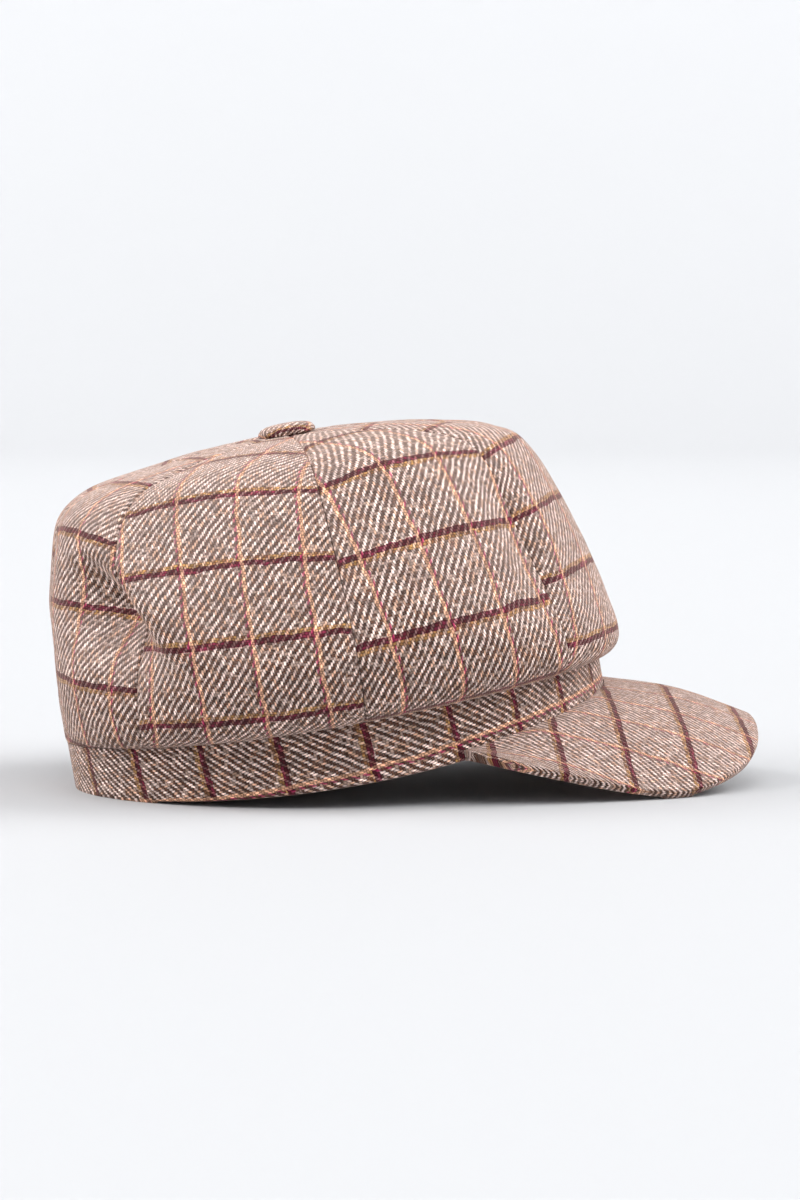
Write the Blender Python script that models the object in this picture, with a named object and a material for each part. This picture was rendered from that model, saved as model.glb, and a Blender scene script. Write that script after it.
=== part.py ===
# Cabbie hat: a panelled crown over an upright band, a short arched peak in two layers, a button.
# Metres. The hat is drawn level, front +X, wearer's left +Y, its rim at height 0, and an empty
# then tips it nose up so that it rests on the back of its band and the low edges of its peak.
import math

import bmesh
import bpy
import numpy as np
from mathutils import Matrix, Vector

# band, outside sizes, and how far its lower edge sags at the sides
HEAD_LENGTH = 0.2074
HEAD_WIDTH = 0.1664
BAND_WALL = 0.0030
BAND_HEIGHT_FRONT = 0.0150
BAND_HEIGHT_SIDE = 0.0225
BAND_HEIGHT_BACK = 0.0182
RIM_SAG = 0.0083

# crown: height over the rim, reach past the band, cloth, and the swell between seams
CROWN_HEIGHT = 0.1192
OVERHANG_FRONT = 0.0075
OVERHANG_SIDE = 0.0225
OVERHANG_BACK = 0.0008
CLOTH_WALL = 0.0018
PANEL_PUFF = 0.0010
APEX_HOLE = 0.0030
PLAN_POWER = 2.12

# peak: length past the band, half of the root's arc, half width, tip height over the floor
PEAK_LENGTH = 0.0563
PEAK_ROOT_ANGLE = 70.0
PEAK_HALF_WIDTH = 0.0780
PEAK_TIP_RISE = 0.0210
PEAK_BULGE = 0.0030
PEAK_TOP_WALL = 0.0026
PEAK_UNDER_WALL = 0.0010
PEAK_ROLL = 0.0016
PEAK_CORNER = 0.0040

# button
BUTTON_RADIUS = 0.0110
BUTTON_HEIGHT = 0.0046

# fits and pose
SEAM_GAP = 0.0003
NOSE_UP = 10.0
FLAT_DEPTH = 0.0008

# cloth colours
CROWN_COLOUR = (0.33, 0.26, 0.23, 1.0)
BAND_COLOUR = (0.29, 0.22, 0.19, 1.0)
PEAK_COLOUR = (0.35, 0.28, 0.24, 1.0)
CLOTH_ROUGHNESS = 0.92

# grid counts
PANEL_CELLS_ROUND = 8
PANEL_CELLS_UP = 20
BAND_CELLS = 84
PEAK_CELLS_ROUND = 32
PEAK_CELLS_OUT = 7
BUTTON_STEPS = 24

HALF_LENGTH = HEAD_LENGTH / 2
HALF_WIDTH = HEAD_WIDTH / 2
TILT = math.radians(NOSE_UP)

PANELS = [
    # name, first seam, last seam: degrees from the nose, left positive
    ("crown_front_left", 0.0, 44.0),
    ("crown_front_side_left", 44.0, 90.0),
    ("crown_back_side_left", 90.0, 139.0),
    ("crown_back_left", 139.0, 180.0),
    ("crown_back_right", -180.0, -139.0),
    ("crown_back_side_right", -139.0, -90.0),
    ("crown_front_side_right", -90.0, -44.0),
    ("crown_front_right", -44.0, 0.0),
]

# where the cloth turns out over the band
TURN_ROWS = np.array([
    # lift as a share of the crown's rise, then shares of the front, side and back overhang
    [0.000, 0.03, 0.01, 0.08],
    [0.004, 0.40, 0.24, 0.40],
    [0.022, 0.80, 0.50, 0.80],
    [0.062, 1.00, 0.73, 1.00],
])

# wall, shoulder and top of the crown
WALL_ROWS = np.array([
    # lift as a share of the crown's rise, then shares of the front, side and back reach
    [0.130, 0.995, 0.975, 1.002],
    [0.230, 0.977, 1.000, 1.000],
    [0.350, 0.953, 0.978, 0.994],
    [0.480, 0.925, 0.930, 0.981],
    [0.600, 0.889, 0.868, 0.958],
    [0.710, 0.850, 0.802, 0.928],
    [0.805, 0.806, 0.730, 0.896],
    [0.868, 0.755, 0.665, 0.846],
    [0.915, 0.652, 0.592, 0.752],
    [0.947, 0.508, 0.512, 0.603],
    [0.971, 0.328, 0.420, 0.437],
    [0.990, 0.145, 0.262, 0.250],
    [1.000, 0.000, 0.000, 0.000],
])

# soft dents and swells; depth is a share of the cloth wall, lengths are shares of crown height
FOLDS = [
    # angle, lift, half length, half width, lean, depth
    (-140.0, 0.50, 0.190, 0.080, -26.0, -3.6),
    (-146.0, 0.68, 0.190, 0.100, -20.0, 1.3),
    (-128.0, 0.56, 0.140, 0.085, -60.0, 1.1),
    (-46.0, 0.60, 0.150, 0.070, 80.0, -1.2),
    (-22.0, 0.12, 0.170, 0.100, 0.0, 0.7),
    (-66.0, 0.88, 0.250, 0.100, 5.0, 0.6),
    (128.0, 0.40, 0.185, 0.092, -50.0, -2.2),
    (52.0, 0.50, 0.170, 0.085, 80.0, -1.4),
    (171.0, 0.34, 0.200, 0.100, 10.0, -1.0),
]

# lower edge of the peak from its tip to near its corner
PEAK_EDGE = np.array([
    # shares of: reach past the band, half width, tip rise over the floor
    [1.000, 0.000, 1.000],
    [0.983, 0.210, 0.880],
    [0.920, 0.405, 0.640],
    [0.793, 0.575, 0.390],
    [0.590, 0.710, 0.180],
    [0.300, 0.820, 0.020],
    [-0.083, 0.920, 0.133],
    [-0.600, 1.015, 0.440],
])

# side view of the button's dome
BUTTON_DOME = [
    # share of radius, share of height
    (1.00, 0.16),
    (0.97, 0.42),
    (0.86, 0.70),
    (0.64, 0.89),
    (0.34, 0.98),
    (0.00, 1.00),
]


def smooth_rows(table, share):
    """Catmull-Rom values of a table at shares from 0 to 1 of its length."""
    last = len(table) - 1
    place = np.clip(np.asarray(share, float), 0.0, 1.0) * last
    first = np.clip(np.floor(place).astype(int), 0, last - 1)
    part = (place - first)[..., None]
    before = table[np.clip(first - 1, 0, last)]
    start = table[first]
    end = table[first + 1]
    after = table[np.clip(first + 2, 0, last)]
    linear = (end - before) * part
    square = (2 * before - 5 * start + 4 * end - after) * part**2
    cube = (3 * start - before - 3 * end + after) * part**3
    return 0.5 * (2 * start + linear + square + cube)


def smooth_step(value):
    value = np.clip(value, 0.0, 1.0)
    return value * value * (3.0 - 2.0 * value)


def oval(angle, half_length, half_width, height):
    return np.stack([half_length * np.cos(angle), half_width * np.sin(angle), height], -1)


def rim_height(angle):
    """Lower edge of the band."""
    return -RIM_SAG * np.sin(angle) ** 2


def band_top(angle):
    """Seam between band and crown."""
    end = np.where(np.cos(angle) >= 0, BAND_HEIGHT_FRONT, BAND_HEIGHT_BACK)
    side = BAND_HEIGHT_SIDE - RIM_SAG
    return end * np.cos(angle) ** 2 + side * np.sin(angle) ** 2


def rest_lift():
    """Height of the level hat's origin once the back of its band sits on the floor."""
    angle = np.linspace(0.0, 2 * math.pi, 721)
    low = HALF_LENGTH * np.cos(angle) * math.sin(TILT) + rim_height(angle) * math.cos(TILT)
    return -low.min() - FLAT_DEPTH / 3


LIFT = rest_lift()


def to_level(points):
    """Points given over the floor, as the level hat sees them."""
    forward = points[..., 0] * math.cos(TILT) + (points[..., 2] - LIFT) * math.sin(TILT)
    up = -points[..., 0] * math.sin(TILT) + (points[..., 2] - LIFT) * math.cos(TILT)
    return np.stack([forward, points[..., 1], up], -1)


def pressed_flat(points):
    """Cloth that hangs within a hair of the floor, or would sink into it, lies flat on it."""
    over = points[..., 0] * math.sin(TILT) + points[..., 2] * math.cos(TILT) + LIFT
    flat = points.copy()
    floor = (-LIFT - points[..., 0] * math.sin(TILT)) / math.cos(TILT)
    flat[..., 2] = np.where(over < FLAT_DEPTH, floor, flat[..., 2])
    return flat


def reach_rows():
    """Turn and wall tables in metres: lift share, then front, side and back reach."""
    halves = np.array([HALF_LENGTH, HALF_WIDTH, HALF_LENGTH])
    overhangs = np.array([OVERHANG_FRONT, OVERHANG_SIDE, OVERHANG_BACK])
    turn = np.column_stack([TURN_ROWS[:, 0], halves + overhangs * TURN_ROWS[:, 1:]])
    wall = np.column_stack([WALL_ROWS[:, 0], (halves + overhangs) * WALL_ROWS[:, 1:]])
    return np.vstack([turn, wall])


REACH = reach_rows()
TURN_END = len(TURN_ROWS) / (len(REACH) - 1)


def crown_base(angle, share):
    """Smooth crown surface; share runs from the band's seam at 0 to the apex at 1."""
    rows = smooth_rows(REACH, share)
    square = np.clip(share / TURN_END, 0.0, 1.0)
    power = 1.0 + (2.0 / PLAN_POWER - 1.0) * square
    along = np.sign(np.cos(angle)) * np.abs(np.cos(angle)) ** power
    across = np.sign(np.sin(angle)) * np.abs(np.sin(angle)) ** power
    reach = np.where(np.cos(angle) >= 0, rows[..., 1], rows[..., 3])
    seam = band_top(angle) + SEAM_GAP
    height = seam + rows[..., 0] * (CROWN_HEIGHT - seam)
    return np.stack([reach * along, rows[..., 2] * across, height], -1)


def outward(points):
    """Soft outward direction of the crown at each point."""
    direction = np.stack([
        points[..., 0] / (HALF_LENGTH + OVERHANG_FRONT) ** 2,
        points[..., 1] / (HALF_WIDTH + OVERHANG_SIDE) ** 2,
        0.8 * (points[..., 2] - 0.45 * CROWN_HEIGHT) / CROWN_HEIGHT**2,
    ], -1)
    return direction / np.linalg.norm(direction, axis=-1, keepdims=True)


def puff_height(angle, share):
    """Panels swell between their seams and dip at them."""
    total = np.zeros_like(angle)
    for name, first, last in PANELS:
        middle = math.radians((first + last) / 2)
        half = math.radians((last - first) / 2)
        place = (angle - middle) / half
        inside = np.abs(place) <= 1.0 + 1e-6
        total = np.where(inside, 2.0 * np.cos(place * math.pi / 2) - 1.0, total)
    fade = smooth_step((share - 0.06) / 0.25) * smooth_step((1.0 - share) / 0.3)
    return PANEL_PUFF * total * fade


def share_at_lift(lift):
    shares = np.linspace(0.0, 1.0, 400)
    return np.interp(lift, smooth_rows(REACH, shares)[:, 0], shares)


def fold_height(points, share):
    """Sum of the soft dents and swells in the table."""
    total = np.zeros(points.shape[:-1])
    lifts = smooth_rows(REACH, share)[..., 0]
    for degrees, lift, half_length, half_width, lean, depth in FOLDS:
        angle = math.radians(degrees)
        centre = crown_base(np.array(angle), share_at_lift(lift))
        offset = points - centre
        sideways = offset @ np.array([-math.sin(angle), math.cos(angle), 0.0])
        upward = (lifts - lift) * CROWN_HEIGHT
        slant = math.radians(lean)
        run = (sideways * math.cos(slant) + upward * math.sin(slant)) / (half_length * CROWN_HEIGHT)
        rise = (upward * math.cos(slant) - sideways * math.sin(slant)) / (half_width * CROWN_HEIGHT)
        same_side = np.linalg.norm(offset, axis=-1) < 0.75 * CROWN_HEIGHT
        total += depth * CLOTH_WALL * same_side * np.exp(-0.5 * (run**2 + rise**2))
    return total * smooth_step(share / TURN_END) * smooth_step((1.0 - share) / 0.2)


def crown_surface(angle, share):
    points = crown_base(angle, share)
    height = puff_height(angle, share) + fold_height(points, share)
    return points + outward(points) * height[..., None]


def grid_normals(grid):
    """Unit normals of a grid of points, first index outwards or up, second round."""
    normals = np.cross(np.gradient(grid, axis=1), np.gradient(grid, axis=0))
    return normals / np.linalg.norm(normals, axis=-1, keepdims=True)


def cloth_material(name, colour):
    material = bpy.data.materials.new(name)
    material.use_nodes = True
    shader = material.node_tree.nodes["Principled BSDF"]
    shader.inputs["Base Color"].default_value = colour
    shader.inputs["Roughness"].default_value = CLOTH_ROUGHNESS
    shader.inputs["Metallic"].default_value = 0.0
    return material


def finish_piece(name, shape, material, pose):
    """Turn a bmesh into a smooth-shaded object carried by the pose empty."""
    bmesh.ops.recalc_face_normals(shape, faces=shape.faces)
    mesh = bpy.data.meshes.new(name)
    shape.to_mesh(mesh)
    shape.free()
    mesh.shade_smooth()
    mesh.set_sharp_from_angle(angle=math.radians(40.0))
    mesh.materials.append(material)
    piece = bpy.data.objects.new(name, mesh)
    piece.parent = pose
    bpy.context.scene.collection.objects.link(piece)
    return piece


def cloth_slab(name, face, back, material, pose):
    """A sheet over the face grid, extruded onto the back grid."""
    shape = bmesh.new()
    corners = [[shape.verts.new(point) for point in row] for row in face]
    for row, above in zip(corners, corners[1:]):
        for cell in range(len(row) - 1):
            shape.faces.new([row[cell], row[cell + 1], above[cell + 1], above[cell]])
    extruded = bmesh.ops.extrude_face_region(shape, geom=list(shape.faces))
    shape.verts.ensure_lookup_table()
    moved = [item for item in extruded["geom"] if isinstance(item, bmesh.types.BMVert)]
    target = {tuple(np.float32(near)): far for near, far in zip(face.reshape(-1, 3), back.reshape(-1, 3))}
    for vertex in moved:
        vertex.co = target[tuple(np.float32(vertex.co))]
    return finish_piece(name, shape, material, pose)


def panel_angles(first, last, shares):
    """Angles across a panel, drawn in from both seams by half the gap."""
    whole = np.radians(np.linspace(first, last, PANEL_CELLS_ROUND + 1))
    angles = np.empty((len(shares), len(whole)))
    middle = (whole[0] + whole[-1]) / 2
    for row, share in enumerate(shares):
        points = crown_base(whole, np.full(len(whole), share))
        width = np.linalg.norm(np.diff(points, axis=0), axis=1).sum()
        angles[row] = middle + (whole - middle) * (1.0 - SEAM_GAP / width)
    return angles


def upright_at_seams(normals, angles):
    """Lay the wall direction at both side edges into the upright plane of the seam."""
    laid = normals.copy()
    for column in (0, -1):
        radial = oval(angles[:, column], 1.0, 1.0, np.zeros(len(angles)))
        along = (normals[:, column] * radial).sum(axis=-1, keepdims=True)
        laid[:, column] = radial * along
        laid[:, column, 2] = normals[:, column, 2]
    return laid / np.linalg.norm(laid, axis=-1, keepdims=True)


def add_panel(name, first, last, material, pose):
    """One crown panel from the band's seam to the small hole under the button."""
    top = 1.0 - APEX_HOLE / (REACH[-2, 1] * (len(REACH) - 1))
    shares = np.linspace(0.0, top, PANEL_CELLS_UP + 1)
    angles = panel_angles(first, last, shares)
    outer = crown_surface(angles, np.repeat(shares[:, None], angles.shape[1], axis=1))
    normals = grid_normals(outer)
    foot = normals[0]
    foot[:, 2] = np.minimum(foot[:, 2], -0.15)
    normals = upright_at_seams(normals, angles)
    cloth_slab(name, outer, outer - normals * CLOTH_WALL, material, pose)


def add_band(material, pose):
    """Upright band, its lower edge pressed flat where it rests."""
    angle = np.linspace(0.0, 2 * math.pi, BAND_CELLS, endpoint=False)
    low = rim_height(angle)
    high = band_top(angle)
    inside = (HALF_LENGTH - BAND_WALL, HALF_WIDTH - BAND_WALL)
    rings = [
        oval(angle, HALF_LENGTH, HALF_WIDTH, low),
        oval(angle, HALF_LENGTH, HALF_WIDTH, high),
        oval(angle, *inside, high),
        oval(angle, *inside, low),
    ]
    shape = bmesh.new()
    loops = [[shape.verts.new(point) for point in pressed_flat(ring)] for ring in rings]
    for loop, following in zip(loops, loops[1:] + loops[:1]):
        for cell in range(BAND_CELLS):
            after = (cell + 1) % BAND_CELLS
            shape.faces.new([loop[cell], loop[after], following[after], following[cell]])
    finish_piece("band", shape, material, pose)


def peak_root(place, clearance):
    """Foot of the peak along the band's lower edge; place runs from -1 right to 1 left."""
    angle = place * math.radians(PEAK_ROOT_ANGLE)
    return oval(angle, HALF_LENGTH + clearance, HALF_WIDTH + clearance, rim_height(angle))


def peak_edge_rows():
    """Lower edge of the peak from the right corner round the tip to the left one."""
    over_floor = np.column_stack([
        HALF_LENGTH + PEAK_LENGTH * PEAK_EDGE[:, 0],
        PEAK_HALF_WIDTH * PEAK_EDGE[:, 1],
        PEAK_TIP_RISE * PEAK_EDGE[:, 2],
    ])
    left = np.vstack([to_level(over_floor), peak_root(np.array([1.0]), PEAK_CORNER)])
    right = left[:0:-1] * np.array([1.0, -1.0, 1.0])
    return np.vstack([right, left])


EDGE_ROWS = peak_edge_rows()


def peak_row(place, share, inset):
    """Underside of the peak at a share of the way from the band to a line inside its edge."""
    root = peak_root(place, SEAM_GAP)
    edge = smooth_rows(EDGE_ROWS, (place + 1.0) / 2.0)
    length = np.linalg.norm(edge - root, axis=-1)
    out = share * (1.0 - inset / length)
    points = root + (edge - root) * out[:, None]
    points[:, 2] += PEAK_BULGE * np.sin(math.pi * out) * (1.0 - place**2)
    return points


def peak_grid(stops):
    """Underside points and upward wall directions for stops of share and inset."""
    place = np.linspace(-1.0, 1.0, PEAK_CELLS_ROUND + 1)
    grid = np.array([peak_row(place, share, inset) for share, inset in stops])
    normals = grid_normals(grid)
    normals *= np.where(normals[..., 2:] < 0.0, -1.0, 1.0)
    normals[0] = (0.0, 0.0, 1.0)
    return grid, normals


def add_peak(material, pose):
    """Upper cloth with its core, rolled down over the edge, and the cloth under it."""
    shares = np.linspace(0.0, 1.0, PEAK_CELLS_OUT + 1)
    total = PEAK_UNDER_WALL + SEAM_GAP + PEAK_TOP_WALL
    stops = [(share, PEAK_ROLL) for share in shares] + [(1.0, 0.4 * PEAK_ROLL), (1.0, 0.0)]
    grid, normals = peak_grid(stops)
    below = np.full(len(stops), PEAK_UNDER_WALL + SEAM_GAP)
    below[-2:] = 0.0
    above = np.full(len(stops), total)
    above[-2:] = (0.94 * total, 0.70 * total)
    upper = grid + normals * above[:, None, None]
    lower = pressed_flat(grid + normals * below[:, None, None])
    cloth_slab("peak_top", upper, lower, material, pose)
    inset = PEAK_ROLL + 2.0 * SEAM_GAP
    grid, normals = peak_grid([(share, inset) for share in shares])
    cloth_slab("peak_under", grid + normals * PEAK_UNDER_WALL, pressed_flat(grid), material, pose)


def add_button(material, pose):
    """Covered button, turned about the crown's upright axis just over the cloth."""
    seat = CROWN_HEIGHT + SEAM_GAP
    profile = [(0.0, seat), (BUTTON_RADIUS * 0.9, seat)]
    profile += [(BUTTON_RADIUS * share, seat + BUTTON_HEIGHT * height) for share, height in BUTTON_DOME]
    shape = bmesh.new()
    chain = [shape.verts.new((radius, 0.0, height)) for radius, height in profile]
    for start, end in zip(chain, chain[1:]):
        shape.edges.new((start, end))
    bmesh.ops.spin(
        shape, geom=shape.verts[:] + shape.edges[:], cent=(0.0, 0.0, 0.0), axis=(0.0, 0.0, 1.0),
        angle=2 * math.pi, steps=BUTTON_STEPS, use_merge=True)
    bmesh.ops.remove_doubles(shape, verts=shape.verts[:], dist=1e-6)
    finish_piece("button", shape, material, pose)


def stand_on_origin(pose):
    """Tip the hat nose up and put the middle of its box's base on the origin."""
    turn = Matrix.Rotation(-TILT, 4, "Y")
    points = np.array([turn @ vertex.co for piece in pose.children for vertex in piece.data.vertices])
    middle = (points.min(axis=0) + points.max(axis=0)) / 2
    pose.rotation_euler = (0.0, -TILT, 0.0)
    pose.location = Vector((-middle[0], -middle[1], LIFT))


def main():
    for item in list(bpy.data.objects):
        bpy.data.objects.remove(item, do_unlink=True)
    pose = bpy.data.objects.new("hat_pose", None)
    bpy.context.scene.collection.objects.link(pose)
    crown_cloth = cloth_material("crown_cloth", CROWN_COLOUR)
    band_cloth = cloth_material("band_cloth", BAND_COLOUR)
    peak_cloth = cloth_material("peak_cloth", PEAK_COLOUR)
    for name, first, last in PANELS:
        add_panel(name, first, last, crown_cloth, pose)
    add_band(band_cloth, pose)
    add_peak(peak_cloth, pose)
    add_button(crown_cloth, pose)
    stand_on_origin(pose)


main()
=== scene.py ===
from math import cos, hypot, pi, radians, sin

import bmesh
import bpy
import numpy as np
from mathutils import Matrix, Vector, noise


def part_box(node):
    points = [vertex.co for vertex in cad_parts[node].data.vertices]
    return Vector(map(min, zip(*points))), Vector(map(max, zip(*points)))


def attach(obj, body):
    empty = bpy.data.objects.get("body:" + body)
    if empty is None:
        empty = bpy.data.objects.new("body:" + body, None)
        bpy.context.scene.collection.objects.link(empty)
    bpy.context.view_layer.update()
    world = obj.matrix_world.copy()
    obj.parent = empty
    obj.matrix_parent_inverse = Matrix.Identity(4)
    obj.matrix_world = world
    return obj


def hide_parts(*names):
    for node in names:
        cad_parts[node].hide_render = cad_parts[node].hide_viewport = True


# A soft wool cap laid on a pale table: eight crown panels, a band, a peak in two layers, a button.
# Everything is drawn on the level cap (front +X, wearer's left +Y) and then tipped nose up.

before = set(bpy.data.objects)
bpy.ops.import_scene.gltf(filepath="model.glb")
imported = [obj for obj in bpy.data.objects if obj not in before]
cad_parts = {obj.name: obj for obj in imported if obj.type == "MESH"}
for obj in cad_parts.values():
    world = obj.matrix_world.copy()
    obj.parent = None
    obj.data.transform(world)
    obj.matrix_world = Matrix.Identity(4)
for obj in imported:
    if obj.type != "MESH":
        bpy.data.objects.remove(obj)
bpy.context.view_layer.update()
print("frame loaded,", len(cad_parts), "nodes")

hat = {
    "headLength": 0.2074,                  # outside of the band, metres
    "headWidth": 0.1664,
    "rimSag": 0.0083,                      # how far the band's lower edge hangs at the sides
    "bandHeight": (0.0150, 0.0225, 0.0182),   # front, side, back
    "bandWall": 0.0030,
    "crownHeight": 0.1192,
    "overhang": (0.0075, 0.0225, 0.0008),  # crown past the band: front, side, back
    "planPower": 2.12,                     # a little squarer than an ellipse
    "seamGap": 0.0003,
    "noseUp": 10.0,                        # degrees
    "flatDepth": 0.0008,                   # cloth this close to the table lies flat on it
    "edgeFrom": 75.0,                      # degrees between two faces that show as an edge
}

# where the cloth turns out over the band: lift share, then shares of front, side, back overhang
turnRows = np.array([
    [0.000, 0.03, 0.01, 0.08],
    [0.004, 0.40, 0.24, 0.40],
    [0.022, 0.80, 0.50, 0.80],
    [0.062, 1.00, 0.73, 1.00],
])

# wall, shoulder and top: lift share, then shares of front, side, back reach
wallRows = np.array([
    [0.130, 0.995, 0.975, 1.002],
    [0.230, 0.977, 1.000, 1.000],
    [0.350, 0.953, 0.978, 0.994],
    [0.480, 0.925, 0.930, 0.981],
    [0.600, 0.889, 0.868, 0.958],
    [0.710, 0.850, 0.802, 0.928],
    [0.805, 0.806, 0.730, 0.896],
    [0.868, 0.755, 0.665, 0.846],
    [0.915, 0.652, 0.592, 0.752],
    [0.947, 0.508, 0.512, 0.603],
    [0.971, 0.328, 0.420, 0.437],
    [0.990, 0.145, 0.262, 0.250],
    [1.000, 0.000, 0.000, 0.000],
])

halfLength = hat["headLength"] / 2
halfWidth = hat["headWidth"] / 2
tilt = radians(hat["noseUp"])

# the band's box says where the tipped cap stands
bandLow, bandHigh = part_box("band")
place = Vector((
    bandLow.x + halfLength * cos(tilt) + hat["bandHeight"][2] * sin(tilt),
    (bandLow.y + bandHigh.y) / 2,
    bandHigh.z - halfLength * sin(tilt) - hat["bandHeight"][0] * cos(tilt),
))


def addObject(thing):
    bpy.context.scene.collection.objects.link(thing)


# from the level cap to the cap as it lies on the table
def tipped(points):
    forward = points[..., 0] * cos(tilt) - points[..., 2] * sin(tilt)
    up = points[..., 0] * sin(tilt) + points[..., 2] * cos(tilt)
    return np.stack([forward + place.x, points[..., 1] + place.y, up + place.z], -1)


# points of a wall's two faces, laid on the table
def twoFaces(outer, inner):
    return np.concatenate([tipped(outer).reshape(-1, 3), tipped(inner).reshape(-1, 3)])


def smoothRows(table, share):
    last = len(table) - 1
    spot = np.clip(np.asarray(share, float), 0.0, 1.0) * last
    first = np.clip(np.floor(spot).astype(int), 0, last - 1)
    part = (spot - first)[..., None]
    before = table[np.clip(first - 1, 0, last)]
    start = table[first]
    end = table[first + 1]
    after = table[np.clip(first + 2, 0, last)]
    linear = (end - before) * part
    square = (2 * before - 5 * start + 4 * end - after) * part**2
    cube = (3 * start - before - 3 * end + after) * part**3
    return 0.5 * (2 * start + linear + square + cube)


def smoothStep(value):
    value = np.clip(value, 0.0, 1.0)
    return value * value * (3.0 - 2.0 * value)


def oval(angle, length, width, height):
    return np.stack([length * np.cos(angle), width * np.sin(angle), height], -1)


# distance run along a line of points
def runAlong(line):
    steps = np.linalg.norm(np.diff(line, axis=0), axis=1)
    return np.concatenate([[0.0], np.cumsum(steps)])


# distance run across each row of a grid
def runAcross(grid):
    steps = np.linalg.norm(np.diff(grid, axis=1), axis=2)
    return np.concatenate([np.zeros((len(grid), 1)), np.cumsum(steps, axis=1)], axis=1)


def rimHeight(angle):
    return -hat["rimSag"] * np.sin(angle) ** 2


def bandTop(angle):
    front, side, back = hat["bandHeight"]
    end = np.where(np.cos(angle) >= 0, front, back)
    return end * np.cos(angle) ** 2 + (side - hat["rimSag"]) * np.sin(angle) ** 2


# smooth noise from -1 to 1 at points in metres, with wrinkles about size across
def softNoise(points, size, seed=0.0):
    flat = points.reshape(-1, 3) / size + seed
    values = [noise.noise(Vector(point)) for point in flat]
    return np.array(values).reshape(points.shape[:-1])


def gridNormals(grid):
    normals = np.cross(np.gradient(grid, axis=1), np.gradient(grid, axis=0))
    return normals / np.maximum(np.linalg.norm(normals, axis=-1, keepdims=True), 1e-12)


# crown
crown = {
    "wall": 0.0018,
    "puff": 0.0010,            # swell of a panel between its seams
    "grooveDepth": 0.0007,     # where two panels meet
    "grooveReach": 0.0016,
    "seamGap": 0.00016,
    "softSeam": (44.0, 0.3),   # the seams this far from the nose are pressed less deep, by this share
    "pucker": 0.00016,         # ripples beside the seams
    "puckerLength": 0.0085,
    "unevenness": 0.00085,     # soft waves of handled cloth
    "rippleReach": 0.005,      # how far in from a seam they go
    "rippleWander": (3.0, 0.03),   # by how much and over what length they bend
    "grooveFrom": 0.1,
    "waveSizes": (0.034, 0.014),
    "smallWaves": 0.40,        # share of the smaller waves
    "wallShare": 0.92,         # drawn wall as a share of the sewn one
    "puffFrom": 0.06,          # a panel starts to swell this far up, over the next share
    "puffOver": 0.25,
    "puffTop": 0.3,
    "detailFrom": 0.10,        # folds and waves fade in above the turned foot
    "detailOver": 0.15,
    "foldReach": 0.75,         # a fold ends this share of the crown's height from its middle
    "foldTop": 0.2,            # and fades out over this share below the button
    "swellCentre": 0.45,       # swells point away from this share of the crown's height
    "swellUpward": 0.8,
    "apexHole": 0.0030,
    "rowStep": 0.00125,
    "columnStep": 0.00135,
    # close columns of the grid, distances from a seam
    "seamColumns": (0.0, 0.0003, 0.0007, 0.0012, 0.0018, 0.0026),
    "firstColumn": 0.0036,
    "samplesUp": 900,          # points from which the rows are measured
    "samplesRound": 121,
    "samplesLift": 400,
    "footFacing": -0.15,       # the inner face looks down at least this much at the foot
    "clothEvening": 15,        # rows over which the cloth's bend is evened out
    "mostTurn": 1.2,           # radians that the flat cloth turns round its middle line at most
    "leastBend": 1e-4,         # below this the cloth counts as straight
}

# name, CAD node, first and last seam in degrees from the nose, then how the cloth lies on it:
# across and up shift in mm, lean in degrees, shear, stretch upward, and whether it was cut upside down
panels = [
    ("crownFrontLeft", "crown_front_left", 0.0, 44.0, 9.0, 14.0, 2.0, 0.0, 1.00, True),
    ("crownFrontSideLeft", "crown_front_side_left", 44.0, 90.0, 12.0, 5.0, -2.0, 0.0, 0.95, False),
    ("crownBackSideLeft", "crown_back_side_left", 90.0, 139.0, 2.0, 9.0, 1.5, -0.02, 1.00, True),
    ("crownBackLeft", "crown_back_left", 139.0, 180.0, 4.0, 20.0, 3.0, 0.0, 1.00, False),
    ("crownBackRight", "crown_back_right", -180.0, -139.0, 0.1, 30.5, -6.4, 0.016, 1.051, True),
    ("crownBackSideRight", "crown_back_side_right", -139.0, -90.0, 9.0, 20.9, -1.3, 0.033, 0.99, False),
    ("crownFrontSideRight", "crown_front_side_right", -90.0, -44.0, -28.9, 37.5, 1.5, 0.006, 0.87, True),
    ("crownFrontRight", "crown_front_right", -44.0, 0.0, -38.9, 20.2, -0.5, -0.19, 1.08, False),
]

# dents and swells: angle and lift of the middle, half length, half width below and above it as
# shares of the crown's height, lean in degrees, depth in walls (dents are negative)
folds = [
    (-142.5, 0.50, 0.160, 0.105, 0.045, -46.0, -8.4),   # pocket at the right back seam
    (-133.5, 0.58, 0.190, 0.045, 0.060, -52.0, 2.6),    # ridge before it
    (-150.0, 0.72, 0.130, 0.080, 0.080, -25.0, 1.2),
    (-150.0, 0.33, 0.120, 0.070, 0.070, 10.0, 0.9),
    (-46.0, 0.52, 0.170, 0.055, 0.055, 82.0, -2.2),     # crease down the right front seam
    (-39.0, 0.60, 0.200, 0.060, 0.060, 84.0, 0.9),
    (-22.0, 0.12, 0.170, 0.100, 0.100, 0.0, 0.7),
    (-66.0, 0.88, 0.250, 0.100, 0.100, 5.0, 0.6),
    (128.0, 0.40, 0.185, 0.092, 0.092, -50.0, -2.2),
    (52.0, 0.50, 0.170, 0.085, 0.085, 80.0, -1.4),
    (171.0, 0.34, 0.200, 0.100, 0.100, 10.0, -1.0),
]

halves = np.array([halfLength, halfWidth, halfLength])
overhangs = np.array(hat["overhang"])
reachRows = np.vstack([
    np.column_stack([turnRows[:, 0], halves + overhangs * turnRows[:, 1:]]),
    np.column_stack([wallRows[:, 0], (halves + overhangs) * wallRows[:, 1:]]),
])
turnEnd = len(turnRows) / (len(reachRows) - 1)


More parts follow.
